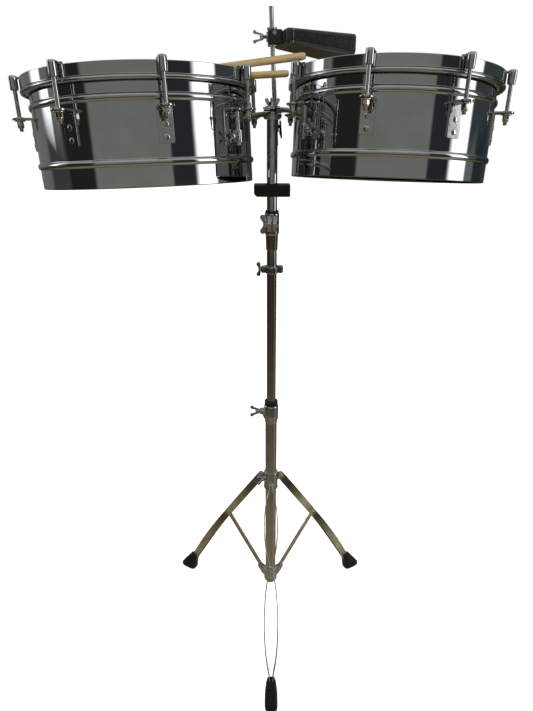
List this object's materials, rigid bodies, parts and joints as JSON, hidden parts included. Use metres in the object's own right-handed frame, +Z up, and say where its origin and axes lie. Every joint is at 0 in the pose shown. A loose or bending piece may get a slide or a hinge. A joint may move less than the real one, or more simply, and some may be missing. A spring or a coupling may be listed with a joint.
{
  "type": "timbales on tripod stand",
  "caption": "Pair of chrome single-headed drums on a height-adjustable folding tripod stand, with a side-mounted cowbell and two sticks resting on the rims.",
  "frame": {"origin": "centre of the overall bounding box, on the floor plane that the three feet rest on", "axes": "+Z up along the stand's post, +X to the player's right through the two drums as seen from the front leg, +Y away from the front leg"},
  "size_m": [0.796, 0.4714, 1.3358],
  "materials": {
    "chrome": "polished chrome plate on steel and zinc fittings",
    "steel_strip": "plated steel strip",
    "black_rubber": "moulded rubber",
    "black_nylon": "moulded nylon",
    "head_film": "coated polyester film",
    "black_lacquer": "satin black lacquer on steel",
    "hickory": "clear lacquered turned wood"
  },
  "bodies": {
    "stand": {"base_tube": "chrome", "base_bushing": "black_nylon", "lower_hub": "chrome"},
    "sliding_hub": {"upper_hub": "chrome"},
    "hub_bolt": {"hub_wing_bolt": "chrome"},
    "base_bolt": {"base_wing_bolt": "chrome"},
    "mast": {"middle_tube": "chrome", "upper_clamp": "chrome", "upper_bushing": "black_nylon"},
    "memory_collar": {"memory_lock": "chrome"},
    "memory_bolt": {"memory_wing_bolt": "chrome"},
    "upper_bolt": {"upper_wing_bolt": "chrome"},
    "top_post": {"upper_tube": "chrome", "post_collar": "chrome", "arm_washer": "black_rubber"},
    "stop": {"stop_block": "black_nylon"},
    "wing_nut": {"post_wing_nut": "chrome"},
    "left_arm": {"left_arm": "chrome"},
    "left_drum": {"left_shell": "chrome", "left_head": "head_film", "left_hoop": "chrome", "left_lug_1": "chrome", "left_lug_2": "chrome", "left_lug_3": "chrome", "left_lug_4": "chrome", "left_lug_5": "chrome", "left_lug_6": "chrome", "left_lug_7": "chrome", "left_lug_8": "chrome", "left_mount_bracket": "chrome"},
    "left_screw": {"left_mount_screw": "chrome"},
    "right_arm": {"right_arm": "chrome"},
    "right_drum": {"right_shell": "chrome", "right_head": "head_film", "right_hoop": "chrome", "right_lug_1": "chrome", "right_lug_2": "chrome", "right_lug_3": "chrome", "right_lug_4": "chrome", "right_lug_5": "chrome", "right_lug_6": "chrome", "right_lug_7": "chrome", "right_lug_8": "chrome", "right_mount_bracket": "chrome"},
    "right_screw": {"right_mount_screw": "chrome"},
    "bell_rod": {"cowbell_rod": "chrome"},
    "rod_screw": {"rod_wing_screw": "black_nylon"},
    "bell": {"cowbell": "black_lacquer"},
    "bell_screw": {"cowbell_wing_screw": "chrome"},
    "stick_front": {"stick_front": "hickory"},
    "stick_back": {"stick_back": "hickory"},
    "front_leg": {"front_leg": "steel_strip", "front_foot": "black_rubber"},
    "front_brace": {"front_brace": "steel_strip"},
    "right_leg": {"right_leg": "steel_strip", "right_foot": "black_rubber"},
    "right_brace": {"right_brace": "steel_strip"},
    "left_leg": {"left_leg": "steel_strip", "left_foot": "black_rubber"},
    "left_brace": {"left_brace": "steel_strip"}
  },
  "joints": [
    {"name": "hub_slide", "type": "slide", "parent": "stand", "child": "sliding_hub", "axis": [0, 0, 1], "range_m": [-0.005, 0.05]},
    {"name": "hub_bolt_turn", "type": "hinge", "parent": "sliding_hub", "child": "hub_bolt", "pos_m": [0.00174, 0.04152, 0.41], "axis": [-0.866, -0.5, 0], "continuous": true},
    {"name": "front_leg_fold", "type": "hinge", "parent": "sliding_hub", "child": "front_leg", "pos_m": [0.01317, 0.02212, 0.404], "axis": [1, 0, 0], "range_deg": [-2.07, 20.21]},
    {"name": "front_brace_fold", "type": "hinge", "parent": "stand", "child": "front_brace", "pos_m": [0.01317, 0.02112, 0.121], "axis": [1, 0, 0], "range_deg": [-22.35, 2.28]},
    {"name": "right_leg_fold", "type": "hinge", "parent": "sliding_hub", "child": "right_leg", "pos_m": [0.03569, 0.06112, 0.404], "axis": [-0.5, 0.866, 0], "range_deg": [-2.07, 20.21]},
    {"name": "right_brace_fold", "type": "hinge", "parent": "stand", "child": "right_brace", "pos_m": [0.03656, 0.06162, 0.121], "axis": [-0.5, 0.866, 0], "range_deg": [-22.35, 2.28]},
    {"name": "left_leg_fold", "type": "hinge", "parent": "sliding_hub", "child": "left_leg", "pos_m": [-0.00934, 0.06112, 0.404], "axis": [-0.5, -0.866, 0], "range_deg": [-2.07, 20.21]},
    {"name": "left_brace_fold", "type": "hinge", "parent": "stand", "child": "left_brace", "pos_m": [-0.01021, 0.06162, 0.121], "axis": [-0.5, -0.866, 0], "range_deg": [-22.35, 2.28]},
    {"name": "base_bolt_turn", "type": "hinge", "parent": "stand", "child": "base_bolt", "pos_m": [-0.00032, 0.04812, 0.584], "axis": [-1, 0, 0], "continuous": true},
    {"name": "height_slide", "type": "slide", "parent": "stand", "child": "mast", "axis": [0, 0, 1], "range_m": [-0.25, 0.11]},
    {"name": "memory_slide", "type": "slide", "parent": "mast", "child": "memory_collar", "axis": [0, 0, 1], "range_m": [-0.03, 0.025]},
    {"name": "memory_bolt_turn", "type": "hinge", "parent": "memory_collar", "child": "memory_bolt", "pos_m": [0.00217, 0.04812, 0.8995], "axis": [-1, 0, 0], "continuous": true},
    {"name": "upper_bolt_turn", "type": "hinge", "parent": "mast", "child": "upper_bolt", "pos_m": [0.02017, 0.03062, 0.988], "axis": [-1, 0, 0], "continuous": true},
    {"name": "post_swivel", "type": "hinge", "parent": "mast", "child": "top_post", "pos_m": [0.01317, 0.04812, 0.988], "axis": [0, 0, 1], "continuous": true},
    {"name": "stop_slide", "type": "slide", "parent": "top_post", "child": "stop", "axis": [0, 0, 1], "range_m": [-0.024, 0]},
    {"name": "wing_nut_turn", "type": "hinge", "parent": "top_post", "child": "wing_nut", "pos_m": [0.01317, 0.04812, 1.186], "axis": [0, 0, 1], "continuous": true},
    {"name": "left_arm_swivel", "type": "hinge", "parent": "top_post", "child": "left_arm", "pos_m": [0.01317, 0.04812, 1.175], "axis": [0, 0, 1], "range_deg": [-3, 5]},
    {"name": "left_drum_height", "type": "slide", "parent": "left_arm", "child": "left_drum", "axis": [-0.0367, 0.0898, 0.9953], "range_m": [0, 0.008]},
    {"name": "left_mount_screw_turn", "type": "hinge", "parent": "left_drum", "child": "left_screw", "pos_m": [-0.04032, -0.06335, 1.14043], "axis": [-0.525, -0.8492, 0.0572], "continuous": true},
    {"name": "right_arm_swivel", "type": "hinge", "parent": "top_post", "child": "right_arm", "pos_m": [0.01317, 0.04812, 1.175], "axis": [0, 0, 1], "range_deg": [-5, 3]},
    {"name": "right_drum_height", "type": "slide", "parent": "right_arm", "child": "right_drum", "axis": [0.039, 0.1226, 0.9917], "range_m": [-0.004, 0]},
    {"name": "right_mount_screw_turn", "type": "hinge", "parent": "right_drum", "child": "right_screw", "pos_m": [0.0621, -0.04013, 1.1487], "axis": [0.5038, -0.8595, 0.0864], "continuous": true},
    {"name": "bell_rod_slide", "type": "slide", "parent": "top_post", "child": "bell_rod", "axis": [-0.0466, 0, 0.9989], "range_m": [-0.01, 0.02]},
    {"name": "rod_screw_turn", "type": "hinge", "parent": "top_post", "child": "rod_screw", "pos_m": [0.01947, 0.10612, 1.15], "axis": [1, 0, 0], "continuous": true},
    {"name": "bell_swivel", "type": "hinge", "parent": "bell_rod", "child": "bell", "pos_m": [0.01302, 0.10612, 1.28969], "axis": [-0.0466, 0, 0.9989], "range_deg": [-10, 65]},
    {"name": "bell_screw_turn", "type": "hinge", "parent": "bell", "child": "bell_screw", "pos_m": [0.00017, 0.10612, 1.291], "axis": [-1, 0, 0], "continuous": true},
    {"name": "stick_front_lift", "type": "slide", "parent": "left_drum", "child": "stick_front", "axis": [0, 0, 1], "range_m": [0, 0.1]},
    {"name": "stick_back_lift", "type": "slide", "parent": "left_drum", "child": "stick_back", "axis": [0, 0, 1], "range_m": [0, 0.012]}
  ],
  "couplings": [
    {"joint": "front_leg_fold", "follows": "hub_slide", "rad_per_m": 7.0376},
    {"joint": "front_brace_fold", "follows": "hub_slide", "rad_per_m": -7.7853},
    {"joint": "right_leg_fold", "follows": "hub_slide", "rad_per_m": 7.0376},
    {"joint": "right_brace_fold", "follows": "hub_slide", "rad_per_m": -7.7853},
    {"joint": "left_leg_fold", "follows": "hub_slide", "rad_per_m": 7.0376},
    {"joint": "left_brace_fold", "follows": "hub_slide", "rad_per_m": -7.7853}
  ]
}
